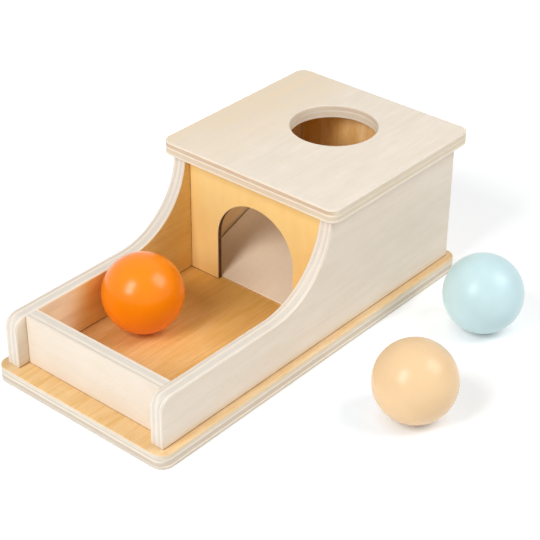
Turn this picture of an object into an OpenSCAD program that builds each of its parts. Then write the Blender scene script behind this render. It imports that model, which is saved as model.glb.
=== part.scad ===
// Object permanence box: an open tray that leads out of a covered chamber with a drop hole.
// A ball dropped through the hole lands on the sloping ramp, rolls out of the arched doorway
// and comes to rest in the tray. Plywood boards, butt jointed with glue and hidden dowels.
// Origin: centre of the base board's underside. Front is -Y, right is +X, up is +Z.

/* [Base board] */
// Length of the base board, front to rear
base_l = 250.5; // [244:0.5:300]
// Width of the base board
base_w = 121.5; // [115:0.5:160]
// Thickness of the base board
base_t = 9; // [8:0.5:14]
// Radius of the base board's corners
base_corner_r = 7; // [2:0.5:14]
// How far the base board reaches past each end of the side panels
base_end_margin = 5.25; // [2:0.25:10]
// How far the base board reaches past the outer face of each side panel
base_side_margin = 4.5; // [1:0.25:8]

/* [Side panels] */
// Thickness of the side panels
side_t = 8.5; // [7:0.5:10]
// Height of the tray walls above the base board
tray_h = 29.5; // [22:0.5:40]
// Height of the chamber walls above the base board
chamber_h = 73.5; // [68:0.5:95]
// Length of the chamber walls, from their upright front edge to the rear
chamber_l = 110.5; // [95:0.5:125]
// Radius of the hollow sweep from the tray wall up to the chamber wall
sweep_r = 45.5; // [20:0.5:60]
// Radius of the rounded nose at the front of each tray wall
nose_r = 7; // [2:0.5:12]

/* [Front rail] */
// Thickness of the front rail
rail_t = 8.5; // [7:0.5:10]
// How far the rail's face lies behind the front ends of the side panels
rail_setback = 7; // [2:0.5:15]

/* [Arch panel] */
// Thickness of the arch panel
arch_t = 3.2; // [2.4:0.1:5]
// How far the arch panel lies behind the upright front edge of the chamber walls
arch_setback = 3.5; // [1:0.5:8]
// Width of the arched doorway
arch_w = 54.5; // [50:0.5:62]
// Height of the doorway's straight jambs above the base board
arch_jamb_h = 29; // [22:0.5:34]
// Depth of the grooves in the side panels that hold the arch panel's edges
arch_groove_depth = 2; // [1:0.5:3]

/* [Ramp] */
// Slope of the ramp in degrees
ramp_slope = 20.2; // [12:0.1:22]
// Thickness of the ramp board
ramp_t = 4; // [3:0.5:6]
// Height of the ramp's blunt front edge
ramp_foot_h = 1; // [0.4:0.1:1.5]
// Room between the ramp and each side panel
ramp_side_gap = 0.8; // [0.2:0.1:2]
// Depth, front to rear, of the cleat under the ramp's upper end
cleat_w = 10; // [6:0.5:16]
// Height of the cleat at the back panel
cleat_h = 12; // [8:0.5:14]

/* [Back panel] */
// Thickness of the back panel
back_t = 8.5; // [7:0.5:10]

/* [Top panel] */
// Thickness of the top panel
top_t = 8; // [7:0.5:12]
// Radius of the top panel's corners
top_corner_r = 6; // [2:0.5:14]
// How far the top panel reaches out in front of the chamber walls
top_front_overhang = 5; // [2:0.5:9]
// How far the top panel reaches out behind the back panel
top_rear_overhang = 7.5; // [2:0.5:12]
// How far the top panel reaches out past the outer face of each side panel
top_side_overhang = 4.75; // [2:0.25:10]
// Diameter of the drop hole
hole_d = 50; // [47:0.5:54]
// Distance from the top panel's front edge to the centre of the drop hole
hole_from_front = 76.5; // [60:0.5:82]

/* [Balls] */
// Diameter of the balls
ball_d = 45; // [40:0.5:46]
// Distance from the tray wall to the ball that lies in the tray
tray_ball_wall_gap = 0.6; // [0.5:0.1:4]
// Distance behind the rail of the centre of the ball that lies in the tray
tray_ball_from_rail = 54.4; // [40:0.1:60]
// Distance from the base board's right edge to the blue ball
blue_ball_gap = 23.25; // [5:0.25:100]
// Place of the blue ball's centre, behind the middle of the base board
blue_ball_y = 82; // [40:0.5:200]
// Distance from the base board's right edge to the tan ball
tan_ball_gap = 42.75; // [5:0.25:100]
// Place of the tan ball's centre, behind the middle of the base board
tan_ball_y = -8.5; // [-200:0.5:20]

/* [Dowels] */
// Diameter of the glued dowels
dowel_d = 4; // [3:0.5:5]
// Depth of a dowel hole drilled into a board's face
face_hole_depth = 5; // [3:0.5:6]
// Depth of a dowel hole drilled into a board's edge
edge_hole_depth = 10; // [6:0.5:14]

/* [Hidden] */
$fn = 96;

// Radial room round a glued dowel
dowel_fit = 0.05;
// Room for glue at each end of a dowel
dowel_end_gap = 0.5;
// Room between the arch panel's edges and the grooves that hold them
groove_fit = 0.1;
// Height at which a ball lies clear of the board or table below it
ball_seat_gap = 0.3;
// How far a cutting tool runs past the face that it opens
overrun = 2;

// Places of the dowels, as shares of the length or height of the board that they hold
side_dowel_shares = [0.12, 0.5, 0.88];
rail_foot_dowel_shares = [0.25, 0.75];
rail_end_dowel_shares = [0.3, 0.7];
back_foot_dowel_shares = [0.25, 0.75];
back_end_dowel_shares = [0.2, 0.5, 0.8];
top_dowel_shares = [0.25, 0.75];

// Levels above the table
floor_z = base_t;
top_z = base_t + chamber_h;

// Sizes of the boards that follow the boards which carry them
side_l = base_l - 2 * base_end_margin;
body_w = base_w - 2 * base_side_margin;
inner_w = body_w - 2 * side_t;
top_l = chamber_l + top_front_overhang + top_rear_overhang;
top_w = body_w + 2 * top_side_overhang;

// Places from front to rear
side_front_y = -side_l / 2;
side_rear_y = side_l / 2;
chamber_front_y = side_rear_y - chamber_l;
rail_front_y = side_front_y + rail_setback;
rail_rear_y = rail_front_y + rail_t;
arch_front_y = chamber_front_y + arch_setback;
arch_rear_y = arch_front_y + arch_t;
back_front_y = side_rear_y - back_t;
top_front_y = chamber_front_y - top_front_overhang;
hole_y = top_front_y + hole_from_front;

// Places from side to side
panel_x = (body_w - side_t) / 2;
ball_r = ball_d / 2;
tray_ball_x = -inner_w / 2 + tray_ball_wall_gap + ball_r;

// A board lying flat with its near left corner at the origin and all four corners rounded
module flat_board(w, l, t, r) {
    linear_extrude(t) {
        translate([r, 0]) square([w - 2 * r, l]);
        translate([0, r]) square([w, l - 2 * r]);
        for (x = [r, w - r], y = [r, l - r]) translate([x, y]) circle(r);
    }
}

// An outline drawn front to rear and upwards, standing on the base board and given a
// thickness from side to side, centred on x
module upright(t, x = 0) {
    translate([x - t / 2, 0, floor_z]) rotate([90, 0, 90]) linear_extrude(t) children();
}

// A board across the box between the side panels, from the base board up
module cross_board(w, t, h, front_y) {
    translate([-w / 2, front_y, floor_z]) cube([w, t, h]);
}

// One dowel through the joint plane at its origin, along +Z from face hole to edge hole
module dowel() {
    translate([0, 0, dowel_end_gap - face_hole_depth])
        cylinder(d = dowel_d, h = face_hole_depth + edge_hole_depth - 2 * dowel_end_gap);
}

// The hole in a board's face for the same dowel, open past the joint plane
module face_hole() {
    translate([0, 0, -face_hole_depth])
        cylinder(d = dowel_d + 2 * dowel_fit, h = face_hole_depth + overrun);
}

// The hole in a board's edge for the same dowel, open past the joint plane
module edge_hole() {
    translate([0, 0, -overrun])
        cylinder(d = dowel_d + 2 * dowel_fit, h = edge_hole_depth + overrun);
}

// Joints between the base board and each side panel
module at_side_feet(sides = [-1, 1]) {
    for (side = sides, share = side_dowel_shares)
        translate([side * panel_x, side_front_y + share * side_l, floor_z]) children();
}

// Joints between the base board and the front rail
module at_rail_feet() {
    for (share = rail_foot_dowel_shares)
        translate([(share - 1 / 2) * inner_w, rail_front_y + rail_t / 2, floor_z]) children();
}

// Joints between the base board and the back panel
module at_back_feet() {
    for (share = back_foot_dowel_shares)
        translate([(share - 1 / 2) * inner_w, back_front_y + back_t / 2, floor_z]) children();
}

// Joints between the side panels' inner faces and the ends of the front rail
module at_rail_ends(sides = [-1, 1]) {
    for (side = sides, share = rail_end_dowel_shares)
        translate([side * inner_w / 2, rail_front_y + rail_t / 2, floor_z + share * tray_h])
            rotate([0, -side * 90, 0]) children();
}

// Joints between the side panels' inner faces and the ends of the back panel
module at_back_ends(sides = [-1, 1]) {
    for (side = sides, share = back_end_dowel_shares)
        translate([side * inner_w / 2, back_front_y + back_t / 2, floor_z + share * chamber_h])
            rotate([0, -side * 90, 0]) children();
}

// Joints between the top panel's underside and the top edges of the chamber walls
module at_side_tops(sides = [-1, 1]) {
    for (side = sides, share = top_dowel_shares)
        translate([side * panel_x, chamber_front_y + share * chamber_l, top_z])
            rotate([180, 0, 0]) children();
}

module base_board() {
    color("burlywood")
        difference() {
            translate([-base_w / 2, -base_l / 2, 0])
                flat_board(base_w, base_l, base_t, base_corner_r);
            at_side_feet() face_hole();
            at_rail_feet() face_hole();
            at_back_feet() face_hole();
        }
}

// Low tray wall with a rounded nose, a hollow sweep, then the full height of the chamber
module side_outline() {
    sweep_y = chamber_front_y - sweep_r;
    difference() {
        translate([side_front_y, 0]) square([side_l, tray_h]);
        translate([side_front_y, tray_h - nose_r])
            difference() {
                translate([-overrun, 0]) square([nose_r + overrun, nose_r + overrun]);
                translate([nose_r, 0]) circle(nose_r);
            }
    }
    translate([chamber_front_y, 0]) square([chamber_l, chamber_h]);
    difference() {
        translate([sweep_y, 0]) square([sweep_r, min(tray_h + sweep_r, chamber_h)]);
        translate([sweep_y, tray_h + sweep_r]) circle(sweep_r);
    }
}

// side is -1 for the left panel and 1 for the right one
module side_panel(side) {
    color("wheat")
        difference() {
            upright(side_t, side * panel_x) side_outline();
            translate([side * inner_w / 2, arch_front_y + arch_t / 2, floor_z + chamber_h / 2])
                cube([2 * arch_groove_depth, arch_t, chamber_h + 2 * overrun], center = true);
            at_side_feet([side]) edge_hole();
            at_rail_ends([side]) face_hole();
            at_back_ends([side]) face_hole();
            at_side_tops([side]) edge_hole();
        }
}

module left_side_panel() {
    side_panel(-1);
}

module right_side_panel() {
    side_panel(1);
}

module front_rail() {
    color("wheat")
        difference() {
            cross_board(inner_w, rail_t, tray_h, rail_front_y);
            at_rail_feet() edge_hole();
            at_rail_ends() edge_hole();
        }
}

// Thin panel with the arched doorway, held in a groove in each side panel
module arch_panel() {
    w = inner_w + 2 * (arch_groove_depth - groove_fit);
    color("sandybrown")
        difference() {
            cross_board(w, arch_t, chamber_h, arch_front_y);
            translate([0, arch_rear_y + overrun, floor_z])
                rotate([90, 0, 0])
                    linear_extrude(arch_t + 2 * overrun) {
                        translate([-arch_w / 2, -overrun]) square([arch_w, arch_jamb_h + overrun]);
                        translate([0, arch_jamb_h]) circle(arch_w / 2);
                    }
        }
}

// Height of the ramp's surface above the base board at a place y
function ramp_z(y) = ramp_foot_h + (y - arch_rear_y) * tan(ramp_slope);

// Height of the ramp board's underside above the base board at a place y
function ramp_under_z(y) = ramp_z(y) - ramp_t / cos(ramp_slope);

// Sloping board from behind the doorway up to the back panel, its foot cut to lie flat
module ramp_board() {
    heel_y = arch_rear_y + (ramp_t / cos(ramp_slope) - ramp_foot_h) / tan(ramp_slope);
    color("tan")
        upright(inner_w - 2 * ramp_side_gap)
            polygon([
                [arch_rear_y, 0],
                [heel_y, 0],
                [back_front_y, ramp_under_z(back_front_y)],
                [back_front_y, ramp_z(back_front_y)],
                [arch_rear_y, ramp_foot_h]
            ]);
}

// Strip glued to the back panel that carries the ramp's upper end
module ramp_cleat() {
    front_y = back_front_y - cleat_w;
    under_z = ramp_under_z(back_front_y) - cleat_h;
    color("tan")
        upright(inner_w)
            polygon([
                [front_y, under_z],
                [back_front_y, under_z],
                [back_front_y, ramp_under_z(back_front_y)],
                [front_y, ramp_under_z(front_y)]
            ]);
}

module back_panel() {
    color("wheat")
        difference() {
            cross_board(inner_w, back_t, chamber_h, back_front_y);
            at_back_feet() edge_hole();
            at_back_ends() edge_hole();
        }
}

// Lid of the chamber, with the round drop hole
module top_panel() {
    color("wheat")
        difference() {
            translate([-top_w / 2, top_front_y, top_z])
                flat_board(top_w, top_l, top_t, top_corner_r);
            translate([0, hole_y, top_z - overrun])
                cylinder(d = hole_d, h = top_t + 2 * overrun);
            at_side_tops() face_hole();
        }
}

module base_dowels() {
    color("burlywood") {
        at_side_feet() dowel();
        at_rail_feet() dowel();
        at_back_feet() dowel();
    }
}

module rail_dowels() {
    color("burlywood") at_rail_ends() dowel();
}

module back_dowels() {
    color("burlywood") at_back_ends() dowel();
}

module top_dowels() {
    color("burlywood") at_side_tops() dowel();
}

// A ball above the board or table at height z
module ball(x, y, z) {
    translate([x, y, z + ball_seat_gap + ball_r]) sphere(ball_r);
}

module orange_ball() {
    color("orange") ball(tray_ball_x, rail_rear_y + tray_ball_from_rail, floor_z);
}

module blue_ball() {
    color("lightblue") ball(base_w / 2 + blue_ball_gap + ball_r, blue_ball_y, 0);
}

module tan_ball() {
    color("peachpuff") ball(base_w / 2 + tan_ball_gap + ball_r, tan_ball_y, 0);
}

base_board();
left_side_panel();
right_side_panel();
front_rail();
arch_panel();
ramp_board();
ramp_cleat();
back_panel();
top_panel();
base_dowels();
rail_dowels();
back_dowels();
top_dowels();
orange_ball();
blue_ball();
tan_ball();
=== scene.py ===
"""Object permanence box: birch plywood boards, a honey-stained base, a yellow arch panel and
three painted wooden balls, dressed for a plain product picture.

The file has the layout of a Blender add-on and is run as a script."""

import math
from collections import namedtuple
from functools import partial

import bmesh
import bpy
from bpy.props import FloatProperty, FloatVectorProperty, IntProperty, PointerProperty
from bpy.types import Operator, Panel, PropertyGroup
from mathutils import Matrix, Vector, noise


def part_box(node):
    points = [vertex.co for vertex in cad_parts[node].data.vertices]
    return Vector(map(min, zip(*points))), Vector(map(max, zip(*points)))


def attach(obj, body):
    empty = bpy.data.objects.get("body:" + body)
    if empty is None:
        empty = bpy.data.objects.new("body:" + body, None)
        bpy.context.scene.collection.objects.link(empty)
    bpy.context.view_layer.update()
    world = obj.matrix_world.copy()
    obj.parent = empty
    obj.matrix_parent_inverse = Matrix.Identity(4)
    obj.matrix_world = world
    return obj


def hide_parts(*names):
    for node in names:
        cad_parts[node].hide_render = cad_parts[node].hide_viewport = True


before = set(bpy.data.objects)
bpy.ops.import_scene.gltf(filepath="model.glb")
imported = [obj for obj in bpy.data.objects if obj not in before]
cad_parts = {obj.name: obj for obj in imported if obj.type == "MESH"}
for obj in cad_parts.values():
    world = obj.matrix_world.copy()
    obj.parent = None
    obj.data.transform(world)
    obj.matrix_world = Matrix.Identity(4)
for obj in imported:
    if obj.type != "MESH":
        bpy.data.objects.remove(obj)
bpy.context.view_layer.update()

bl_info = {
    "name": "Object permanence box",
    "version": (1, 0, 0),
    "blender": (4, 5, 0),
    "location": "3D View > Sidebar > Toy box",
    "description": "Builds a plywood ball-drop box, its painted balls and a plain studio",
    "category": "Object",
}

MM = 0.001

# Unit directions of the row frame, and the two that span a sheet which faces along an axis
X, Y, Z = Vector((1, 0, 0)), Vector((0, 1, 0)), Vector((0, 0, 1))
SHEETS = {"X": (Y, Z), "Y": (X, Z), "Z": (X, Y)}

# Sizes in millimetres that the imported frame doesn't give by itself
LENGTHS = {
    "arris": ("Radius of the sanded edges", 0.45),
    "thin_arris": ("Radius of the sanded edges of the thin arch panel", 0.3),
    "base_corner": ("Corner radius of the base board", 7),
    "top_corner": ("Corner radius of the top panel", 6),
    "nose": ("Radius of the side panels' rounded front ends", 7),
    "sweep": ("Radius of the hollow sweep up to the chamber wall", 45.5),
    "chamber": ("Length of the chamber walls", 110.5),
    "hole": ("Diameter of the drop hole", 50),
    "hole_from_front": ("Top panel's front edge to the hole's centre", 76.5),
    "doorway": ("Width of the arched doorway", 54.5),
    "jamb": ("Height of the doorway's straight jambs", 29),
    "ramp_foot": ("Height of the ramp's blunt front edge", 1),
    "ramp": ("Thickness of the ramp board", 4),
    "dowel_chamfer": ("Bevel at each end of a dowel", 0.4),
}

# Colours of the woods, stains and paints, as sRGB hex
FINISHES = {
    "birch": ("Sanded birch face veneer under clear matt lacquer", "#F0E5D7"),
    "birch_figure": ("Darker growth bands in the birch veneer", "#E5D8C5"),
    # The upright faces take a slightly darker copy of the lid's birch: painted shade
    "wall_birch": ("Paler, cooler birch on the walls", "#ECE0D2"),
    "birch_warm": ("Warmer heartwood in the birch veneer", "#EED8B8"),
    "birch_pore": ("Short dark pores in the birch veneer", "#D2BC9C"),
    # The warm tones inside the tray and the chamber, with their bands and pores, are painted bounce light
    # from the honey floor and yellow panel
    "inner": ("Birch inside the tray, under a warm lacquer", "#F9DA90"),
    "inner_thin": ("Warm lacquer wiped thin, beside the rail", "#FFF3DA"),
    "chamber": ("Browner lacquer inside the chamber", "#F7D6B0"),
    "inner_figure": ("Growth bands under the warm lacquer", "#EBC070"),
    "inner_pore": ("Pores under the warm lacquer", "#C8934E"),
    "ply_light": ("Long-grain layers in a plywood edge", "#ECE2D4"),
    "ply_cream": ("Freshly cut long-grain layers in a plywood edge", "#F4E9D6"),
    "ply_straw": ("Yellowish layers in a plywood edge", "#E3D2B7"),
    "ply_grey": ("Cool end-grain layers in a plywood edge", "#DED6CA"),
    "ply_clay": ("Darker end-grain layers in the base board's edge", "#D4C5B1"),
    "ply_beige": ("Pale end-grain layers in a plywood edge", "#DDD1C1"),
    # The pale layer on the drop hole's wall and the ramp's foot is painted light
    "ply_rim": ("Plywood sanded pale, on the drop hole's wall and the ramp's foot", "#FFF6E8"),
    "ply_tan": ("Dark end-grain layers in a plywood edge", "#D7BEA2"),
    "glue": ("Glue between the layers of the plywood", "#A58460"),
    "honey": ("Honey stain on the base board", "#F8D5A0"),
    "honey_figure": ("Growth bands that took more stain", "#DAA24A"),
    # The deeper honey colour is painted shade, at the back of the tray and in the chamber's left corner
    "honey_deep": ("Where the honey stain lies thicker", "#E9B768"),
    "honey_thin": ("Honey stain wiped thin, along the sides", "#EFD6AE"),
    "honey_pore": ("Pores that took the most stain", "#B0742C"),
    "yellow": ("Warm yellow stain on the arch panel", "#FBDB94"),
    "yellow_figure": ("Growth bands under the yellow stain", "#F7D086"),
    "scorched": ("Cut edge of the arch panel, browned by the cutter", "#4E2408"),
    # The ramp board's pinkish tint is painted bounce light from the honey floor
    "ramp": ("Plain sanded ramp board", "#F5E2C8"),
    "ramp_figure": ("Growth bands in the ramp board", "#EFDABE"),
    "ramp_pore": ("Pores in the ramp board", "#CDAA86"),
    "seam": ("Dark glue line where boards meet", "#6C3808"),
    "dowel": ("Turned beech dowel", "#DDBE96"),
    "orange": ("Satin orange paint", "#FF8C06"),
    "blue": ("Satin pale blue paint", "#C8E3E7"),
    "peach": ("Satin peach paint", "#F0CD9F"),
}


def linear(hex_code):
    """A colour written as sRGB hex, as the linear values that shaders and lamps take."""
    parts = [int(hex_code[i:i + 2], 16) / 255 for i in (1, 3, 5)]
    return tuple(p / 12.92 if p <= 0.04045 else ((p + 0.055) / 1.055) ** 2.4 for p in parts)


def title(key):
    return key.replace("_", " ").capitalize()


def colour_property(key, description, hex_code):
    return FloatVectorProperty(
        name=title(key), description=description, default=linear(hex_code), size=3, subtype="COLOR",
        min=0, max=1,
    )


def length_property(key, description, millimetres):
    return FloatProperty(
        name=title(key), description=description, default=millimetres * MM, min=0, unit="LENGTH", precision=4
    )


def angle_property(key, description, degrees):
    return FloatProperty(
        name=title(key), description=description, default=math.radians(degrees), subtype="ANGLE",
        unit="ROTATION",
    )


class BoardSizes(PropertyGroup):
    """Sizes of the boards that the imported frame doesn't give by itself"""

    __annotations__ = {key: length_property(key, *size) for key, size in LENGTHS.items()}
    dowel_flutes: IntProperty(
        name="Dowel flutes", description="Glue flutes round a dowel", default=16, min=6, max=32
    )


class FinishColours(PropertyGroup):
    """Colours of the woods, stains and paints"""

    __annotations__ = {key: colour_property(key, *finish) for key, finish in FINISHES.items()}


class StageSettings(PropertyGroup):
    """The camera at the picture's viewing angle, the lamps and the floor"""

    camera_place: FloatVectorProperty(
        name="Camera place", description="Where the camera stands", default=(0.48346, -0.54888, 0.49671),
        size=3, subtype="TRANSLATION", unit="LENGTH",
    )
    azimuth: angle_property("azimuth", "Turn of the view from straight ahead", 40.042)
    elevation: angle_property("elevation", "How far the camera looks down", 32.391)
    roll: angle_property("roll", "Tilt of the horizon", 0.576)
    lens: FloatProperty(
        name="Lens", description="Focal length on a 36 mm sensor, in mm", default=105.17, min=10
    )
    key_watts: FloatProperty(
        name="Key", description="Power of the soft front lamp", default=14.3, min=0, unit="POWER"
    )
    fill_watts: FloatProperty(
        name="Fill", description="Power of the soft right lamp", default=10.8, min=0, unit="POWER"
    )
    sky: FloatProperty(name="Sky", description="Strength of the light from all round", default=0.31, min=0)
    lamp_distance: length_property("lamp_distance", "From the box to each lamp", 1500)
    floor_size: length_property("floor_size", "Side of the square floor", 6000)


PROPERTY_GROUPS = {"toy_boards": BoardSizes, "toy_finishes": FinishColours, "toy_stage": StageSettings}


def boards():
    return bpy.context.scene.toy_boards


def finishes():
    return bpy.context.scene.toy_finishes


# Shader trees


def add_node(tree, kind, inputs=(), output=0, **settings):
    """Adds a node with its settings and links, and gives one of its outputs. A kind without Node in
    its name is a shader node. Inputs go in order, or by name or number. A socket is linked, and any
    other value is set. What follows calls it as add, with the tree at hand filled in."""
    node = tree.nodes.new(kind if "Node" in kind else f"ShaderNode{kind}")
    for key, value in settings.items():
        setattr(node, key, value)
    for key, value in inputs.items() if isinstance(inputs, dict) else enumerate(inputs):
        socket = node.inputs[key]
        if isinstance(value, bpy.types.NodeSocket):
            tree.links.new(value, socket)
        elif socket.type == "RGBA":
            socket.default_value = (*value[:3], 1.0)
        else:
            socket.default_value = value
    return node.outputs[output] if node.outputs else None


def with_nodes(owner):
    """Empties the tree of a material or world, and gives the function that adds nodes to it."""
    owner.use_nodes = True
    owner.node_tree.nodes.clear()
    return owner, partial(add_node, owner.node_tree)


# A Mix node of colours has its share in socket 0, its colours in 6 and 7, and its result in 2
RGBA = {"data_type": "RGBA"}


def finish_material(add, colour, roughness, height, strength, gloss=0.5, depth_mm=0.05, **plain):
    """Ends a tree with a Principled shader over a bump. What is the same all over, such as the
    gloss, is set on the shader's own sockets."""
    bump = add("Bump", {"Strength": strength, "Distance": depth_mm * MM, "Height": height})
    shader = add("BsdfPrincipled", {
        "Base Color": colour, "Roughness": roughness, "Normal": bump, "Specular IOR Level": gloss, **plain,
    })
    add("OutputMaterial", {"Surface": shader})


def board_millimetres(add, grain, depth, start, turn=(0, 0, 0)):
    """Object coordinates as (along the grain, across it, depth from the lower face), in millimetres."""
    place = add("TexCoord", output="Object")
    place = add("Mapping", {"Vector": place, "Rotation": turn, "Scale": (MM, MM, MM)}, vector_type="TEXTURE")
    parts = add("SeparateXYZ", (place,)).node.outputs
    across = next(axis for axis in "XYZ" if axis not in (grain, depth))
    deep = add("Math", (parts[depth], start / MM), operation="SUBTRACT")
    return add("CombineXYZ", (parts[grain], parts[across], deep))


def figure(add, board, length, width, depth=4.0, detail=3, distortion=0.0, low=0.3, high=0.7, most=1.0,
           seed=0.0):
    """Noise drawn out along the grain. length, width and depth are the size of one mark in
    millimetres. It is 0 where the noise is under low and most where it is over high."""
    place = add("Mapping", {
        "Vector": board, "Location": (seed * length, 0, 0), "Scale": (length, width, depth),
    }, vector_type="TEXTURE")
    cloud = add("TexNoise", {
        "Vector": place, "Scale": 1.0, "Detail": detail, "Roughness": 0.55, "Distortion": distortion,
    })
    return add("MapRange", (cloud, low, high, 0.0, most))


def weighted(add, patterns, weights):
    """The sum of patterns, each times its weight, held at 1."""
    total = 0.0
    for pattern, weight in zip(patterns, weights):
        total = add("Math", (pattern, weight, total), operation="MULTIPLY_ADD")
    total.node.use_clamp = True
    return total


# The plain, figure, patch and pore colours of each kind of plywood face
FACES = {
    "birch": ("birch", "birch_figure", "birch_warm", "birch_pore"),
    "wall": ("wall_birch", "birch_figure", "birch", "birch_pore"),
    "inner": ("inner", "inner_figure", "inner", "inner_pore"),
    "faint_bounce_inner": ("inner_thin", "birch_warm", "inner_thin", "birch_pore"),
    "chamber": ("chamber", "inner_figure", "chamber", "inner_pore"),
    "honey": ("honey", "honey_figure", "honey_deep", "honey_pore"),
    "ramp": ("ramp", "ramp_figure", "ramp", "ramp_pore"),
}

# Plywood edges: where each layer ends, as a share of the thickness from the lower face, and its
# wood, first in an edge that runs across the face grain and then in one that runs along it
TOP_LAYERS = (
    {0.18: "ply_cream", 0.47: "ply_straw", 0.60: "ply_cream", 0.86: "ply_tan", 1.0: "ply_cream"},
    {0.22: "ply_cream", 0.45: "ply_straw", 0.58: "ply_light", 0.86: "ply_straw", 1.0: "ply_light"},
)
BASE_LAYERS = (
    {0.08: "ply_clay", 0.22: "ply_grey", 0.44: "ply_clay", 0.61: "ply_light", 0.69: "ply_clay",
     0.78: "ply_light", 0.86: "ply_grey", 1.0: "ply_light"},
    {0.13: "ply_clay", 0.28: "ply_cream", 0.57: "ply_clay", 0.71: "ply_light", 1.0: "ply_straw"},
)
PANEL_LAYERS = (
    {0.20: "ply_light", 0.36: "ply_grey", 0.59: "ply_light", 0.75: "ply_grey", 0.91: "ply_light",
     1.0: "ply_beige"},
    {0.12: "ply_light", 0.26: "ply_beige", 0.46: "ply_light", 0.78: "ply_grey", 1.0: "ply_light"},
)
# The top layer of the ramp's foot edge is painted light
RAMP_LAYERS = (
    {0.3: "ramp", 0.68: "ply_beige", 1.0: "ply_rim"},
    {0.3: "ramp", 0.68: "ply_beige", 1.0: "ramp"},
)
# Half the width of a glue line between two layers, as a share of the thickness
GLUE_LINE = 0.014
# How far the layers waver, in millimetres
WAVER = 0.22

# Marks in the veneer, as long and as wide in millimetres as they are here
BAND, CLOUD, FIBRE, PORE, PATCH = (75, 6), (18, 9), (11, 0.55), (3.4, 0.32), (70, 36)
# How much the bands, clouds and fibres darken a face, if nothing else is said
FIGURE_WEIGHTS = (0.46, 0.36, 0.22)

# Where the patch colour of a face begins and is full, in millimetres along the grain (axis 0) or
# across it (axis 1), how far out it goes on the other axis, and how strong the figure is outside it.
# On the lid the patch is warmer wood; on the base and the back panel it is painted shade.
PatchZone = namedtuple("PatchZone", "axis begins full reach outside", defaults=(200, 1.0))
# How far noise moves the border of the patches, in millimetres
PATCH_WANDER = 24.0
# How much paler the wall of a cut hole is painted, which is painted light, and how much paler the arrises
# are, from handling and a painted highlight line
RIM_PALE, ARRIS_PALE = 0.35, 0.45

# A line where two boards meet: it lies at a place on an axis, on the side of it where the board is
# (1 or -1), and shows on faces that look along another axis, as dark as darkness says. wick is
# how strongly a honey tint spreads from it, painted bounce light from the honey base, and reach is
# where the line ends, in millimetres.
Seam = namedtuple("Seam", "axis at side facing darkness wick reach", defaults=(1.0, 0.0, 0.6))


def edge_layers(add, share, layers, glue):
    """The woods of a plywood edge at a share of its thickness. The glue lines between them show
    as far as glue says."""
    woods = [(end, getattr(finishes(), wood)) for end, wood in layers.items()]
    points = [(0.0, woods[0][1], 1.0)]
    for (end, here), (_, beyond) in zip(woods, woods[1:]):
        points += [(end - GLUE_LINE, here, 1.0), (end, here, 0.0), (end + GLUE_LINE, beyond, 1.0)]
    bands = add("ValToRGB", (share,)).node
    stops = bands.color_ramp.elements
    while len(stops) < len(points):
        stops.new(1.0)
    # The alpha of a stop is 0 on a glue line
    for stop, (place, colour, alpha) in zip(stops, points):
        stop.position = place
        stop.color = (*colour, alpha)
    off_line = add("Math", (1.0, bands.outputs["Alpha"]), operation="SUBTRACT")
    line = add("Math", (off_line, glue), operation="MULTIPLY")
    return add("Mix", {0: line, 6: bands.outputs[0], 7: finishes().glue}, 2, **RGBA)


def ply_edge(add, board, grain, thickness_mm, layers, seed):
    """Colour of a sanded plywood edge. The layers waver by a tenth of a millimetre, their glue lines
    come and go, and the darker ones are mottled where the cutter burnished the end grain."""
    depth_mm = add("SeparateXYZ", (board,), 2)
    waver = figure(add, board, 22, 22, detail=2, seed=seed + 7.7)
    wavered = add("Math", (waver, WAVER, depth_mm), operation="MULTIPLY_ADD")
    share = add("Math", (wavered, WAVER / 2), operation="SUBTRACT")
    share = add("Math", (share, thickness_mm), operation="DIVIDE")
    glue = figure(add, board, 14, 14, depth=1.5, low=0.38, high=0.72, most=0.8, seed=seed + 2.2)
    across, along = (edge_layers(add, share, woods, glue) for woods in layers)

    normal = add("TexCoord", output="Normal")
    end_on = add("SeparateXYZ", (normal,)).node.outputs[grain]
    end_on = add("Math", (end_on,), operation="ABSOLUTE")
    end_on = add("MapRange", (end_on, 0.5, 0.86))
    edge = add("Mix", {0: end_on, 6: along, 7: across}, 2, **RGBA)

    fade = figure(add, board, 26, 26, depth=1.5, low=0.48, high=0.8, most=0.4, seed=seed + 5.2)
    edge = add("Mix", {0: fade, 6: edge, 7: finishes().ply_light}, 2, **RGBA)
    mottle = figure(add, board, 5, 5, depth=1.2, low=0.25, high=0.75, seed=seed + 1.3)
    fibres = figure(add, board, 0.9, 0.9, depth=0.3, detail=2, low=0.25, high=0.75, seed=seed + 4.4)
    shade = add("Math", (mottle, -0.07, 1.055), operation="MULTIPLY_ADD")
    shade = add("Math", (fibres, -0.09, shade), operation="MULTIPLY_ADD")
    shade = add("CombineColor", (shade, shade, shade))
    return add("Mix", {0: 1.0, 6: edge, 7: shade}, 2, **RGBA, blend_type="MULTIPLY")


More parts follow.
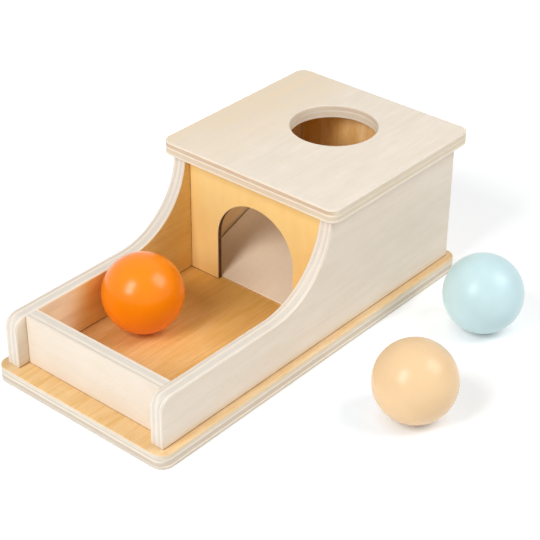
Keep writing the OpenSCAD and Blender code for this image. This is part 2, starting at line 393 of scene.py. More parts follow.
def with_seams(add, colour, seams):
    """Draws the thin brown line of each seam, broken a little, and a honey tint beside it, which is painted
    bounce light from the honey base.
    """
    place = add("TexCoord", output="Object")
    normals = add("SeparateXYZ", (place.node.outputs["Normal"],)).node.outputs
    broken = add("TexNoise", {"Vector": place, "Scale": 1 / (6 * MM), "Detail": 3.0})
    broken = add("MapRange", (broken, 0.3, 0.6, 0.55, 1.0))
    places = add("SeparateXYZ", (place,)).node.outputs
    for seam in seams:
        off = add("Math", (places[seam.axis], seam.at), operation="SUBTRACT")
        off = add("Math", (off, seam.side / MM), operation="MULTIPLY")
        faces = add("Math", (normals[seam.facing],), operation="ABSOLUTE")
        faces = add("MapRange", (faces, 0.5, 0.8))
        honey_bounce = add("MapRange", (off, 0.4, 3.4, seam.wick, 0.0))
        honey_bounce = add("Math", (honey_bounce, faces), operation="MULTIPLY")
        colour = add("Mix", {0: honey_bounce, 6: colour, 7: finishes().honey}, 2, **RGBA)
        line = add("MapRange", (off, seam.reach * 0.4, seam.reach, seam.darkness, 0.0))
        line = add("Math", (line, broken), operation="MULTIPLY")
        line = add("Math", (line, faces), operation="MULTIPLY")
        colour = add("Mix", {0: line, 6: colour, 7: finishes().seam}, 2, **RGBA)
    return colour


def board_colour(add, board, thickness_mm, skin, face, edge, arris_paleness, seams):
    """A board's faces and edges together, paler on the arrises as far as worn says. skin is the
    depth where a face begins to give way to the edge and where it is gone, in millimetres."""
    depth_mm = add("SeparateXYZ", (board,), 2)
    to_top = add("Math", (thickness_mm, depth_mm), operation="SUBTRACT")
    nearest = add("Math", (depth_mm, to_top), operation="MINIMUM")
    in_edge = add("MapRange", (nearest, *skin))
    colour = add("Mix", {0: in_edge, 6: face, 7: edge}, 2, **RGBA)
    colour = add("Mix", {0: arris_paleness, 6: colour, 7: finishes().ply_light}, 2, **RGBA)
    return with_seams(add, colour, seams)


def plywood(name, grain, depth, start, thickness, upper, lower=None, layers=PANEL_LAYERS, turn=(0, 0, 0),
            seed=0.0, seams=(), skin=(0.04, 0.2), patch_zone=None, thin=None, bounce_coats=(), rim=None, fibre=FIBRE,
            weights=FIGURE_WEIGHTS):
    """Sanded plywood with rotary-cut birch faces: soft growth bands, cloudy shimmer, fine fibres and
    short dark pores on the faces, and layers wherever the depth shows in an edge. upper and lower
    name the two faces. thin is the plain colour of the upper face outside the patch zone's reach.
    bounce_coats are the faces that follow the bare one on an inner face, each with where it begins
    and is full, in millimetres along the grain: warm tones that are painted bounce light. rim is
    where a cut hole's middle is, along the grain and across it, and its radius, in millimetres: its
    wall is painted paler, which is painted light."""
    thickness_mm = thickness / MM
    material, add = with_nodes(bpy.data.materials.new(name))
    board = board_millimetres(add, grain, depth, start, turn)
    places = add("SeparateXYZ", (board,)).node.outputs

    bands = figure(add, board, *BAND, detail=4, distortion=1.2, low=0.36, high=0.72, seed=seed)
    clouds = figure(add, board, *CLOUD, low=0.32, high=0.68, seed=seed + 6.1)
    fibres = figure(add, board, *fibre, depth=0.8, low=0.32, high=0.68, seed=seed)
    pores = figure(add, board, *PORE, depth=0.5, detail=1, low=0.62, high=0.76, most=0.75, seed=seed)
    patches = figure(add, board, *PATCH, depth=20, detail=2, low=0.42, high=0.68, seed=seed + 3.1)
    tone = weighted(add, (bands, clouds, fibres), weights)
    pored = add("Math", (pores, bands), operation="MULTIPLY")
    if patch_zone:
        patches = add("Math", (patches, PATCH_WANDER, places[patch_zone.axis]), operation="MULTIPLY_ADD")
        patches = add("MapRange", (patches, patch_zone.begins, patch_zone.full))
        out = add("Math", (places[1 - patch_zone.axis],), operation="ABSOLUTE")
        within = add("Math", (out, patch_zone.reach), operation="LESS_THAN")
        patches = add("Math", (patches, within), operation="MULTIPLY")
        strength = add("MapRange", (patches, 0.0, 1.0, patch_zone.outside, 1.0))
        tone = add("Math", (tone, strength), operation="MULTIPLY")

    faces = []
    for side in (lower or upper, upper):
        # An inner face takes warm tones over the bare wall birch: painted bounce light
        lacquer = bounce_coats if side == "inner" else ()
        woods = [getattr(finishes(), wood) for wood in FACES["wall" if lacquer else side]]
        for bounce_face, begins, full in lacquer:
            share = add("MapRange", (places[0], begins, full))
            woods = [add("Mix", {0: share, 6: before, 7: getattr(finishes(), after)}, 2, **RGBA)
                     for before, after in zip(woods, FACES[bounce_face])]
        plain, dark, patch, pore = woods
        if thin and side == upper:
            plain = add("Mix", {0: within, 6: thin, 7: plain}, 2, **RGBA)
        face = add("Mix", {0: patches, 6: plain, 7: patch}, 2, **RGBA)
        face = add("Mix", {0: tone, 6: face, 7: dark}, 2, **RGBA)
        faces.append(add("Mix", {0: pored, 6: face, 7: pore}, 2, **RGBA))
    upper_half = add("Math", (places[2], thickness_mm / 2), operation="GREATER_THAN")
    face = add("Mix", {0: upper_half, 6: faces[0], 7: faces[1]}, 2, **RGBA)

    edge = ply_edge(add, board, grain, thickness_mm, layers, seed)
    if rim:
        # The hole's wall is mixed towards a pale layer: painted light
        flat = add("VectorMath", (board, (1, 1, 0)), operation="MULTIPLY")
        away = add("VectorMath", (flat, (*rim[:2], 0)), "Value", operation="DISTANCE")
        wall = add("Math", (away, rim[2] + 1), operation="LESS_THAN")
        wall = add("Math", (wall, RIM_PALE), operation="MULTIPLY")
        edge = add("Mix", {0: wall, 6: edge, 7: finishes().ply_rim}, 2, **RGBA)

    # Sanding and handling rubbed the arrises paler and smoother here and there; the paleness also paints a
    # highlight line along them
    arris = add("Attribute", output="Fac", attribute_name="arris")
    rubbed = figure(add, board, 9, 9, depth=3, low=0.4, high=0.7, seed=seed + 8.8)
    rubbed = add("Math", (rubbed, arris), operation="MULTIPLY")
    arris_paleness = add("Math", (rubbed, ARRIS_PALE), operation="MULTIPLY")
    colour = board_colour(add, board, thickness_mm, skin, face, edge, arris_paleness, seams)
    roughness = add("MapRange", (fibres, 0.0, 1.0, 0.46, 0.58))
    roughness = add("Math", (rubbed, -0.08, roughness), operation="MULTIPLY_ADD")
    height = add("Math", (pored, -1.5, fibres), operation="MULTIPLY_ADD")
    finish_material(add, colour, roughness, height, strength=0.3, gloss=0.3)
    return material


def stained_thin_ply(name, start, thickness, seams):
    """Thin plywood under a warm yellow water stain: an even colour with faint growth bands, and a
    dark brown cut edge."""
    colours = finishes()
    material, add = with_nodes(bpy.data.materials.new(name))
    board = board_millimetres(add, "Z", "Y", start)
    bands = figure(add, board, 60, 9, distortion=0.6, low=0.35, high=0.7)
    clouds = figure(add, board, 14, 12, low=0.32, high=0.68, seed=3.3)
    fibres = figure(add, board, 12, 0.5, depth=0.8, detail=2)
    tone = weighted(add, (bands, clouds, fibres), (0.4, 0.35, 0.16))
    face = add("Mix", {0: tone, 6: colours.yellow, 7: colours.yellow_figure}, 2, **RGBA)
    edge_mottle = figure(add, board, 2, 2, depth=0.5, high=0.8, most=0.2)
    cut = add("Mix", {0: edge_mottle, 6: colours.scorched, 7: colours.yellow_figure}, 2, **RGBA)
    # The stain was rubbed thin on the sanded arris
    arris = add("Attribute", output="Fac", attribute_name="arris")
    arris_paleness = add("Math", (arris, 0.7), operation="MULTIPLY")
    colour = board_colour(add, board, thickness / MM, (0.22, 0.4), face, cut, arris_paleness, seams)
    roughness = add("MapRange", (fibres, 0.0, 1.0, 0.48, 0.6))
    finish_material(add, colour, roughness, fibres, strength=0.25, gloss=0.2)
    return material


def satin_paint(name, colour, sheen, gloss):
    """Sprayed satin paint on a turned wooden ball: one even colour, a faint cloudiness where the
    film is thicker, and orange peel under a millimetre across that softens the highlights. sheen is
    the roughness of the film, and gloss is how much it reflects."""
    material, add = with_nodes(bpy.data.materials.new(name))
    place = add("TexCoord", output="Object")
    clouds = add("TexNoise", {"Vector": place, "Scale": 1 / (14 * MM), "Detail": 2.0})
    peel = add("TexNoise", {"Vector": place, "Scale": 1 / (0.9 * MM), "Detail": 2.0})
    thick = add("MapRange", (clouds, 0.35, 0.7))
    deeper = [c * 0.96 for c in colour]
    film = add("Mix", {0: thick, 6: colour, 7: deeper}, 2, **RGBA)
    roughness = add("MapRange", (clouds, 0.3, 0.7, sheen - 0.02, sheen + 0.03))
    finish_material(add, film, roughness, peel, strength=0.12, gloss=gloss, depth_mm=0.03, IOR=1.45)
    return material


def turned_beech(name):
    """Beech dowel rod, straight grained, sanded but not lacquered."""
    material, add = with_nodes(bpy.data.materials.new(name))
    board = board_millimetres(add, "Z", "X", 0)
    fibres = figure(add, board, 8, 0.4, depth=0.4, detail=2, low=0.2, high=0.8)
    pale, dark = ([min(1.0, c * factor) for c in finishes().dowel] for factor in (1.1, 0.76))
    colour = add("Mix", {0: fibres, 6: pale, 7: dark}, 2, **RGBA)
    finish_material(add, colour, 0.6, fibres, strength=0.3)
    return material


# Meshes


def arc(centre, radius, start, end, steps):
    """Points of an arc from one angle to another, in degrees, both ends included."""
    return [
        Vector((centre[0] + radius * math.cos(a), centre[1] + radius * math.sin(a)))
        for a in (math.radians(start + (end - start) * i / steps) for i in range(steps + 1))
    ]


def rounded_rectangle(low, high, radius, steps=16):
    (x0, y0), (x1, y1) = low, high
    corners = ((x1 - radius, y0 + radius, -90), (x1 - radius, y1 - radius, 0),
               (x0 + radius, y1 - radius, 90), (x0 + radius, y0 + radius, 180))
    return [p for x, y, a in corners for p in arc((x, y), radius, a, a + 90, steps)]


# Keeps a mitre from running away at a sharp corner
MITRE_LIMIT = 0.2


def inset(loop, distance):
    """The loop moved to its left side, which is where the wood is, with mitred corners."""
    moved = []
    for i, point in enumerate(loop):
        before = (point - loop[i - 1]).normalized()
        after = (loop[(i + 1) % len(loop)] - point).normalized()
        n1, n2 = Vector((-before.y, before.x)), Vector((-after.y, after.x))
        moved.append(point + (n1 + n2) * (distance / max(1 + n1.dot(n2), MITRE_LIMIT)))
    return moved


def cut_board(node, facing, outline, arris, holes=(), arris_steps=5):
    """The board of a CAD node, cut from sheet that faces along an axis: an outline that runs
    anticlockwise, holes that run clockwise, and a round sanded arris along every edge."""
    bm = bmesh.new()
    across, up = SHEETS[facing]
    out = across.cross(up)
    near, far = sorted(corner.dot(out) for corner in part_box(node))
    place = Matrix((across, up, out)).transposed()
    arris_ring = bm.verts.layers.float.new("arris")
    # From the lower face round the edge to the upper face: inset, height, share of the arris
    quarter = [math.radians(90 * i / arris_steps) for i in range(arris_steps + 1)]
    lower = [(arris * (1 - math.sin(a)), arris * (1 - math.cos(a)), math.sin(2 * a)) for a in quarter]
    # A ring in the face beside the arris, which keeps the face's shading flat
    flat_ring = 2.2 * arris
    lower.insert(0, (flat_ring, 0.0, 0.0))
    profile = [*lower, *[(d, far - near - h, s) for d, h, s in reversed(lower)]]
    caps = ([], [])
    for loop in (outline, *holes):
        loop = [Vector(p) for p in loop]
        rings = []
        for distance, height, share in profile:
            ring = []
            for p in inset(loop, distance):
                vert = bm.verts.new(place @ Vector((p.x, p.y, near + height)))
                vert[arris_ring] = share
                ring.append(vert)
            rings.append(ring)
        for below, above in zip(rings, rings[1:]):
            for i in range(len(loop)):
                j = (i + 1) % len(loop)
                bm.faces.new((below[i], below[j], above[j], above[i]))
        caps[0].append(rings[0])
        caps[1].append(rings[-1])
    for rings, flip in zip(caps, (True, False)):
        if holes:
            edges = [bm.edges.get((ring[i - 1], ring[i])) for ring in rings for i in range(len(ring))]
            bmesh.ops.triangle_fill(bm, edges=edges, use_beauty=True)
        else:
            bm.faces.new(reversed(rings[0]) if flip else rings[0])
    bmesh.ops.recalc_face_normals(bm, faces=bm.faces)
    return finished(f"{node}_sanded", bm)


def in_scene(name, data):
    """A new object of the scene, with this data."""
    piece = bpy.data.objects.new(name, data)
    bpy.context.scene.collection.objects.link(piece)
    return piece


def finished(name, bm, smooth_below=40):
    """A bmesh as an object at the origin, smooth except along edges sharper than the angle."""
    mesh = bpy.data.meshes.new(name)
    bm.to_mesh(mesh)
    bm.free()
    mesh.shade_smooth()
    mesh.set_sharp_from_angle(angle=math.radians(smooth_below))
    return in_scene(name, mesh)


def fit_out(piece, material, node, body="box"):
    """Gives a finished piece its material and puts it in its CAD node's place."""
    piece.data.materials.clear()
    piece.data.materials.append(material)
    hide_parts(node)
    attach(piece, body)


class TOYBOX_OT_base_board(Operator):
    """Base board with a honey-stained face and pale layered edges"""

    bl_idname = "toybox.base_board"
    bl_label = "Base board"

    def execute(self, context):
        low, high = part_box("base_board")
        outline = rounded_rectangle(low.xy, high.xy, boards().base_corner)
        board = cut_board("base_board", "Z", outline, boards().arris)
        # The stain runs over the sanded arris, and its fibres show coarser than those of bare birch
        # The honey deepens towards the back of the tray: painted shade from the walls and the chamber above
        material = plywood(
            "honey_stained_birch_ply", "Y", "Z", low.z, high.z - low.z, "honey", "birch", BASE_LAYERS,
            seed=2.0, skin=(0.44, 0.6), patch_zone=PatchZone(0, -105, 22, reach=48, outside=0.7),
            thin=finishes().honey_thin, fibre=(24, 1.2), weights=(0.38, 0.26, 0.4),
        )
        fit_out(board, material, "base_board")
        return {"FINISHED"}


class TOYBOX_OT_side_panels(Operator):
    """Pair of side panels with rounded noses and a hollow sweep up to the chamber"""

    bl_idname = "toybox.side_panels"
    bl_label = "Side panels"

    def outline(self, low, high):
        sizes = boards()
        tray_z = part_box("front_rail")[1].z
        chamber_y = high.y - sizes.chamber
        sweep_y, sweep_z = chamber_y - sizes.sweep, tray_z + sizes.sweep
        top_angle = math.degrees(math.asin(min(1, (sweep_z - high.z) / sizes.sweep)))
        nose = arc((low.y + sizes.nose, tray_z - sizes.nose), sizes.nose, 90, 180, steps=14)
        sweep = arc((sweep_y, sweep_z), sizes.sweep, -top_angle, -90, steps=48)
        return [(low.y, low.z), (high.y, low.z), (high.y, high.z), *sweep, *nose]

    def execute(self, context):
        floor_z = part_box("base_board")[1].z
        seams = [Seam("Z", floor_z, 1, facing="X", darkness=0.95, wick=0.45, reach=0.9),
                 Seam("Z", floor_z, 1, facing="Y", darkness=0.3, wick=0.2)]
        # The inner face is bare in front of the rail; behind it, warm tones paint bounce light from the
        # honey floor: faint beside the rail, full in the tray and browner past the arch
        rail_y, arch_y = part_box("front_rail")[0].y / MM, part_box("arch_panel")[1].y / MM
        bounce_coats = (("faint_bounce_inner", rail_y - 7, rail_y + 9), ("inner", rail_y + 28, rail_y + 46),
                 ("chamber", arch_y - 1, arch_y))
        for side, seed, lower, upper in (("left", 4.0, "wall", "inner"), ("right", 9.0, "inner", "wall")):
            node = f"{side}_side_panel"
            low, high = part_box(node)
            panel = cut_board(node, "X", self.outline(low, high), boards().arris)
            material = plywood(
                f"birch_ply_{side}_side", "Y", "X", low.x, high.x - low.x, upper, lower, seed=seed,
                seams=seams, bounce_coats=bounce_coats,
            )
            fit_out(panel, material, node)
        return {"FINISHED"}


class TOYBOX_OT_cross_boards(Operator):
    """Front rail and back panel, housed between the side panels"""

    bl_idname = "toybox.cross_boards"
    bl_label = "Front rail and back panel"

    def execute(self, context):
        # The back panel's inner face takes the honey colour as painted warm bounce light in the chamber, and
        # deepens towards the left corner as painted shade
        for node, grain, seed, lower, upper, patch_zone in (
                ("front_rail", "X", 5.0, "wall", "inner", None),
                ("back_panel", "Z", 6.0, "honey", "wall", PatchZone(1, -8, -28))):
            low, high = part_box(node)
            seams = [Seam("Z", low.z, 1, facing="Y", darkness=0.95, wick=0.2),
                     Seam("X", low.x, 1, facing="Y", darkness=0.7, wick=0.15),
                     Seam("X", high.x, -1, facing="Y", darkness=0.3, wick=0.15)]
            corners = ((low.x, low.z), (high.x, low.z), (high.x, high.z), (low.x, high.z))
            board = cut_board(node, "Y", corners, boards().arris / 2)
            material = plywood(
                f"birch_ply_{node}", grain, "Y", low.y, high.y - low.y, upper, lower, seed=seed, seams=seams,
                patch_zone=patch_zone,
            )
            fit_out(board, material, node)
        return {"FINISHED"}


class TOYBOX_OT_arch_panel(Operator):
    """Thin yellow panel with the arched doorway"""

    bl_idname = "toybox.arch_panel"
    bl_label = "Arch panel"

    def execute(self, context):
        low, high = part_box("arch_panel")
        half, spring_z = boards().doorway / 2, low.z + boards().jamb
        arch = arc((0, spring_z), half, 180, 0, steps=56)
        outline = [(low.x, low.z), (-half, low.z), *arch, (half, low.z), (high.x, low.z), (high.x, high.z),
                   (low.x, high.z)]
        panel = cut_board("arch_panel", "Y", outline, boards().thin_arris)
        wall_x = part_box("right_side_panel")[0].x
        seams = [Seam("Z", low.z, 1, facing="Y", reach=0.8),
                 Seam("X", -wall_x, 1, facing="Y", darkness=0.8),
                 Seam("X", wall_x, -1, facing="Y", darkness=0.8)]
        material = stained_thin_ply("yellow_stained_thin_ply", low.y, high.y - low.y, seams)
        fit_out(panel, material, "arch_panel")
        return {"FINISHED"}


class TOYBOX_OT_ramp(Operator):
    """Ramp board, with the cleat that carries its upper end"""

    bl_idname = "toybox.ramp"
    bl_label = "Ramp and cleat"

    # The ramp's cut edges are hardly sanded
    ramp_arris = 0.15 * MM

    def execute(self, context):
        low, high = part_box("ramp_board")
        foot, thick = boards().ramp_foot, boards().ramp
        slope = math.atan2(high.z - low.z - foot, high.y - low.y)
        drop = thick / math.cos(slope)
        heel_y = low.y + (drop - foot) / math.tan(slope)
        outline = ((low.y, low.z), (heel_y, low.z), (high.y, high.z - drop), (high.y, high.z),
                   (low.y, low.z + foot))
        board = cut_board("ramp_board", "X", outline, self.ramp_arris, arris_steps=2)
        # Depth from the ramp's underside, measured square to its slope
        under = (low.z + foot) * math.cos(slope) - low.y * math.sin(slope) - thick
        # The dark lines at the ramp's foot and along its side, in the gap to the left wall, are painted
        # shade
        seams = [Seam("Z", low.z, 1, facing="Y", reach=0.35),
                 Seam("X", low.x, 1, facing="Z", reach=0.9),
                 Seam("X", low.x, 1, facing="X")]
        material = plywood(
            "ramp_birch_ply", "Y", "Z", under, thick, "ramp", layers=RAMP_LAYERS, turn=(slope, 0, 0),
            seed=7.0, seams=seams,
        )
        fit_out(board, material, "ramp_board")

        low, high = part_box("ramp_cleat")
        depth = high.y - low.y
        rise = depth * math.tan(slope)
        outline = ((low.y, low.z), (high.y, low.z), (high.y, high.z), (low.y, high.z - rise))
        cleat = cut_board("ramp_cleat", "X", outline, boards().thin_arris)
        material = plywood("cleat_birch_ply", "X", "Y", low.y, depth, "ramp", seed=8.0)
        fit_out(cleat, material, "ramp_cleat")
        return {"FINISHED"}


class TOYBOX_OT_top_panel(Operator):
    """Top panel with the round drop hole"""

    bl_idname = "toybox.top_panel"
    bl_label = "Top panel"

    def execute(self, context):
        low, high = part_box("top_panel")
        outline = rounded_rectangle(low.xy, high.xy, boards().top_corner)
        hole_y, radius = low.y + boards().hole_from_front, boards().hole / 2
        hole = arc((0, hole_y), radius, 360, 0, steps=128)[:-1]
        board = cut_board("top_panel", "Z", outline, boards().arris, [hole])
        material = plywood(
            "birch_ply_top", "Y", "Z", low.z, high.z - low.z, "birch", layers=TOP_LAYERS, seed=1.0,
            patch_zone=PatchZone(1, 10, -45), rim=(hole_y / MM, 0, radius / MM),
        )
        fit_out(board, material, "top_panel")
        return {"FINISHED"}


class TOYBOX_OT_dowels(Operator):
    """Glued dowels with flutes, hidden in the joints"""

    bl_idname = "toybox.dowels"
    bl_label = "Dowels"

    # How deep a flute is, as a share of the radius, measured from the middle of its slope
    flute_depth = 0.03

    def spots(self, node):
        """Middle, direction, length and diameter of each dowel of a CAD node."""
        bm = bmesh.new()
        bm.from_mesh(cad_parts[node].data)
        bmesh.ops.remove_doubles(bm, verts=bm.verts, dist=0.001 * MM)
        left = set(bm.verts)
        found = []
        while left:
            border = [min(left, key=lambda v: v.index)]
            group = set(border)
            while border:
                beyond = {v for e in border.pop().link_edges for v in e.verts} - group
                group |= beyond
                border += beyond
            left -= group
            low = Vector([min(v.co[i] for v in group) for i in range(3)])
            high = Vector([max(v.co[i] for v in group) for i in range(3)])
            size = high - low
            axis = max(range(3), key=lambda i: size[i])
            found.append(((low + high) / 2, (X, Y, Z)[axis], max(size), min(size)))
        bm.free()
        return sorted(found, key=lambda s: tuple(s[0]))

    def tree(self):
        """Fluted, chamfered dowels on the points of a mesh, each along its point's direction."""
        tree = bpy.data.node_groups.new("fluted_dowels", "GeometryNodeTree")
        add = partial(add_node, tree)
        sockets = (("Geometry", "Geometry"), ("Diameter", "Float"), ("Length", "Float"),
                   ("Chamfer", "Float"), ("Flutes", "Int"), ("Material", "Material"))
        for name, kind in sockets:
            tree.interface.new_socket(name, in_out="INPUT", socket_type=f"NodeSocket{kind}")
        tree.interface.new_socket("Geometry", in_out="OUTPUT", socket_type="NodeSocketGeometry")
        given = add("NodeGroupInput").node.outputs
        radius = add("Math", (given["Diameter"], 2.0), operation="DIVIDE")
        sides = add("Math", (given["Flutes"], 2.0), operation="MULTIPLY")
        rod = add("GeometryNodeMeshCylinder", {
            "Vertices": sides, "Side Segments": 24, "Fill Segments": 1, "Radius": radius,
            "Depth": given["Length"],
        }, fill_type="NGON")
        # Every second line of points is drawn in for a flute, and the end rings for the chamfer
        place = add("GeometryNodeInputPosition")
        parts = add("SeparateXYZ", (place,)).node.outputs
        angle = add("Math", (parts["Y"], parts["X"]), operation="ARCTAN2")
        angle = add("Math", (angle, given["Flutes"]), operation="MULTIPLY")
        wave = add("Math", (angle,), operation="COSINE")
        flute = add("Math", (wave, self.flute_depth, 1 - self.flute_depth), operation="MULTIPLY_ADD")
        half = add("Math", (given["Length"], 2.0), operation="DIVIDE")
        height = add("Math", (parts["Z"],), operation="ABSOLUTE")
        from_end = add("Math", (half, height), operation="SUBTRACT")
        taper = add("Math", (given["Chamfer"], from_end), operation="SUBTRACT")
        taper = add("Math", (taper, radius), operation="DIVIDE")
        taper = add("Math", (taper, 0.0), operation="MAXIMUM")
        scale = add("Math", (flute, taper), operation="SUBTRACT")
        inwards = add("CombineXYZ", (scale, scale, 1.0))
        moved = add("VectorMath", (place, inwards), operation="MULTIPLY")
        rod = add("GeometryNodeSetPosition", {"Geometry": rod, "Position": moved})
        along = add("GeometryNodeInputNamedAttribute", {"Name": "direction"}, "Attribute",
                    data_type="FLOAT_VECTOR")
        turn = add("FunctionNodeAlignRotationToVector", {"Vector": along}, axis="Z")
        dowels = add("GeometryNodeInstanceOnPoints", {
            "Points": given["Geometry"], "Instance": rod, "Rotation": turn})
        dowels = add("GeometryNodeRealizeInstances", {"Geometry": dowels})
        dowels = add("GeometryNodeSetMaterial", {"Geometry": dowels, "Material": given["Material"]})
        add("NodeGroupOutput", {"Geometry": dowels})
        return tree

    def execute(self, context):
        tree = self.tree()
        identifiers = {s.name: s.identifier for s in tree.interface.items_tree if s.in_out == "INPUT"}
        material = turned_beech("turned_beech_dowel")
        for node in ("base_dowels", "rail_dowels", "back_dowels", "top_dowels"):
            spots = self.spots(node)
            mesh = bpy.data.meshes.new(f"{node}_spots")
            mesh.from_pydata([s[0] for s in spots], [], [])
            direction = mesh.attributes.new("direction", "FLOAT_VECTOR", "POINT")
            for i, spot in enumerate(spots):
                direction.data[i].vector = spot[1]
            holder = in_scene(f"{node}_fluted", mesh)
            modifier = holder.modifiers.new("dowels", "NODES")
            modifier.node_group = tree
            values = {"Diameter": spots[0][3], "Length": spots[0][2], "Chamfer": boards().dowel_chamfer,
                      "Flutes": boards().dowel_flutes, "Material": material}
            for name, value in values.items():
                modifier[identifiers[name]] = value
            bpy.context.view_layer.update()
            depsgraph = bpy.context.evaluated_depsgraph_get()
            holder.data = bpy.data.meshes.new_from_object(
                holder.evaluated_get(depsgraph), preserve_all_data_layers=True, depsgraph=depsgraph
            )
            holder.modifiers.clear()
            fit_out(holder, material, node)
        return {"FINISHED"}


class TOYBOX_OT_balls(Operator):
    """Three turned wooden balls in satin paint"""

    bl_idname = "toybox.balls"
    bl_label = "Balls"

    # How far the hand-sprayed surface strays from a true ball, and over what distance
    unevenness = 0.025 * MM
    unevenness_reach = 9 * MM

    def execute(self, context):
        colours = finishes()
        paints = (("orange_ball", colours.orange, "orange_paint", 0.23, 0.4),
                  ("blue_ball", colours.blue, "pale_blue_paint", 0.3, 0.34),
                  ("tan_ball", colours.peach, "peach_paint", 0.25, 0.34))
        for node, colour, slot, sheen, gloss in paints:
            low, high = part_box(node)
            centre, radius = (low + high) / 2, (high.z - low.z) / 2
            bm = bmesh.new()
            bmesh.ops.create_icosphere(bm, subdivisions=6, radius=radius)
            for vert in bm.verts:
                out = vert.co.normalized()
                sway = noise.noise(vert.co / self.unevenness_reach + centre / MM) - 1
                vert.co = centre + out * (radius + self.unevenness * sway)
            ball = finished(f"{node}_painted", bm, smooth_below=180)
            fit_out(ball, satin_paint(f"satin_{slot}", colour, sheen, gloss), node, body=node)
        return {"FINISHED"}


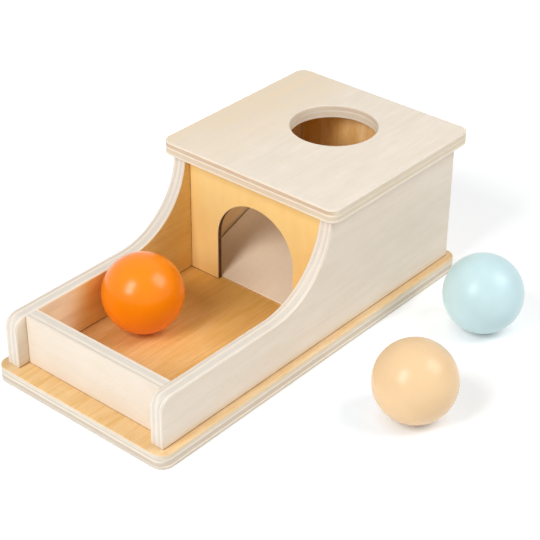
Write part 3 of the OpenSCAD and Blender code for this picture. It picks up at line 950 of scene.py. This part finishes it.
class TOYBOX_OT_studio(Operator):
    """Pale floor, soft lamps and the camera at the picture's viewing angle"""

    bl_idname = "toybox.studio"
    bl_label = "Studio"

    # Direction of each soft lamp from the box, the setting that holds its power, and its size
    lamps = {
        "key_softbox": ((-0.027, -0.770, 0.637), "key_watts", (500 * MM, 820 * MM)),
        "fill_softbox": ((0.595, 0.334, 0.731), "fill_watts", (760 * MM, 800 * MM)),
    }
    floor_white = "#F4F5F6"
    # A tenth of a millimetre under the box, so that the two faces don't lie in one plane
    floor_z = -0.1 * MM
    contact_reach = 8 * MM
    # The floor's glow, least by the tan ball, and by how much it grows with the distance from a
    # spot: round the balls, round the box, and far off, where the lamps hardly reach it. This glow is
    # painted light, which fades the shadows on the paper more the farther they lie from the tan ball
    floor_glow = 0.17
    glow_steps = (((132 * MM, -10 * MM, 0), 30 * MM, 110 * MM, 0.13),
                  ((130 * MM, 80 * MM, 0), 180 * MM, 275 * MM, 0.2),
                  ((0, 0, 0), 600 * MM, 2000 * MM, 0.5))
    # A cooler glow that takes the tan ball's reflected colour off its shadow: its colour, its spot,
    # how far out it begins to fade and is gone, and its strength
    cool_glow = ("#00BCFF", (117 * MM, -15 * MM, 0), 15 * MM, 55 * MM, 0.11)

    def floor(self, stage):
        """Matt white paper. What the camera sees directly gets a little light of its own, so that
        the paper is white where nothing shades it."""
        half, z = stage.floor_size / 2, self.floor_z
        mesh = bpy.data.meshes.new("paper_floor")
        corners = [(-half, -half, z), (half, -half, z), (half, half, z), (-half, half, z)]
        mesh.from_pydata(corners, [], [(0, 1, 2, 3)])
        floor = in_scene("paper_floor", mesh)
        material, add = with_nodes(bpy.data.materials.new("matt_white_paper"))
        white = linear(self.floor_white)
        # The glow fades near the box and balls: painted contact shade on the paper
        contact = add("AmbientOcclusion", {"Color": white, "Distance": self.contact_reach})
        paper = add("BsdfDiffuse", {"Color": white})
        place = add("TexCoord", output="Object")
        seen = self.seen(add)
        lifted = self.floor_glow
        for spot, begins, full, rise in self.glow_steps:
            away = add("VectorMath", (place, spot), "Value", operation="DISTANCE")
            step = add("MapRange", (away, begins, full, 0.0, rise), interpolation_type="SMOOTHSTEP")
            lifted = add("Math", (step, lifted), operation="ADD")
        strength = add("Math", (seen, lifted), operation="MULTIPLY")
        glow = add("Emission", {"Color": contact, "Strength": strength})

        cool, spot, fades, gone, most = self.cool_glow
        away = add("VectorMath", (place, spot), "Value", operation="DISTANCE")
        strength = add("MapRange", (away, fades, gone, most, 0.0), interpolation_type="SMOOTHSTEP")
        for part in (contact.node.outputs["AO"], seen):
            strength = add("Math", (strength, part), operation="MULTIPLY")
        cooler = add("Emission", {"Color": linear(cool), "Strength": strength})
        glow = add("AddShader", (glow, cooler))
        add("OutputMaterial", {"Surface": add("AddShader", (paper, glow))})
        mesh.materials.append(material)

    def seen(self, add):
        """1 for what the camera sees directly, in gloss or through glass."""
        path = add("LightPath").node.outputs
        first = add("Math", (path["Is Camera Ray"], path["Is Glossy Ray"]), operation="MAXIMUM")
        return add("Math", (first, path["Is Transmission Ray"]), operation="MAXIMUM")

    def sky(self, stage):
        world, add = with_nodes(bpy.data.worlds.new("white_studio"))
        # What is seen directly is plain white instead
        strength = add("Math", (stage.sky, self.seen(add)), operation="MAXIMUM")
        shell = add("Background", {"Color": (1, 1, 1), "Strength": strength})
        add("OutputWorld", {"Surface": shell})
        bpy.context.scene.world = world

    def softboxes(self, stage):
        for name, (direction, power, size) in self.lamps.items():
            direction = Vector(direction).normalized()
            data = bpy.data.lights.new(name, "AREA")
            data.shape = "RECTANGLE"
            data.size, data.size_y = size
            data.energy = getattr(stage, power)
            holder = in_scene(name, data)
            holder.location = direction * stage.lamp_distance
            holder.rotation_mode = "QUATERNION"
            holder.rotation_quaternion = direction.to_track_quat("Z", "Y")

    def camera(self, stage):
        data = bpy.data.cameras.new("product_camera")
        data.lens, data.sensor_width = stage.lens, 36
        data.clip_start, data.clip_end = 0.01, 50
        camera = in_scene("product_camera", data)
        place = Matrix.Translation(stage.camera_place)
        for angle, axis in ((stage.azimuth, "Z"), (math.pi / 2 - stage.elevation, "X"), (stage.roll, "Z")):
            place @= Matrix.Rotation(angle, 4, axis)
        camera.matrix_world = place
        bpy.context.scene.camera = camera

    def execute(self, context):
        stage = context.scene.toy_stage
        bpy.context.scene.view_settings.view_transform = "Standard"
        self.floor(stage)
        self.sky(stage)
        self.softboxes(stage)
        self.camera(stage)
        return {"FINISHED"}


OPERATORS = (
    TOYBOX_OT_studio, TOYBOX_OT_base_board, TOYBOX_OT_side_panels, TOYBOX_OT_cross_boards,
    TOYBOX_OT_arch_panel, TOYBOX_OT_ramp, TOYBOX_OT_top_panel, TOYBOX_OT_dowels, TOYBOX_OT_balls,
)


class TOYBOX_PT_panel(Panel):
    """Lists the pieces and their sizes in the sidebar"""

    bl_idname = "TOYBOX_PT_panel"
    bl_label = "Object permanence box"
    bl_space_type = "VIEW_3D"
    bl_region_type = "UI"
    bl_category = "Toy box"

    def draw(self, context):
        for operator in OPERATORS:
            self.layout.operator(operator.bl_idname)
        for group in PROPERTY_GROUPS:
            box = self.layout.box()
            for name in PROPERTY_GROUPS[group].__annotations__:
                box.prop(getattr(context.scene, group), name)


def register():
    for group, kind in PROPERTY_GROUPS.items():
        bpy.utils.register_class(kind)
        setattr(bpy.types.Scene, group, PointerProperty(type=kind))
    for operator in OPERATORS:
        bpy.utils.register_class(operator)
    bpy.utils.register_class(TOYBOX_PT_panel)


def unregister():
    bpy.utils.unregister_class(TOYBOX_PT_panel)
    for operator in reversed(OPERATORS):
        bpy.utils.unregister_class(operator)
    for group, kind in reversed(PROPERTY_GROUPS.items()):
        delattr(bpy.types.Scene, group)
        bpy.utils.unregister_class(kind)


def main():
    register()
    for operator in OPERATORS:
        getattr(bpy.ops.toybox, operator.bl_idname.partition(".")[2])()


if __name__ == "__main__":
    main()
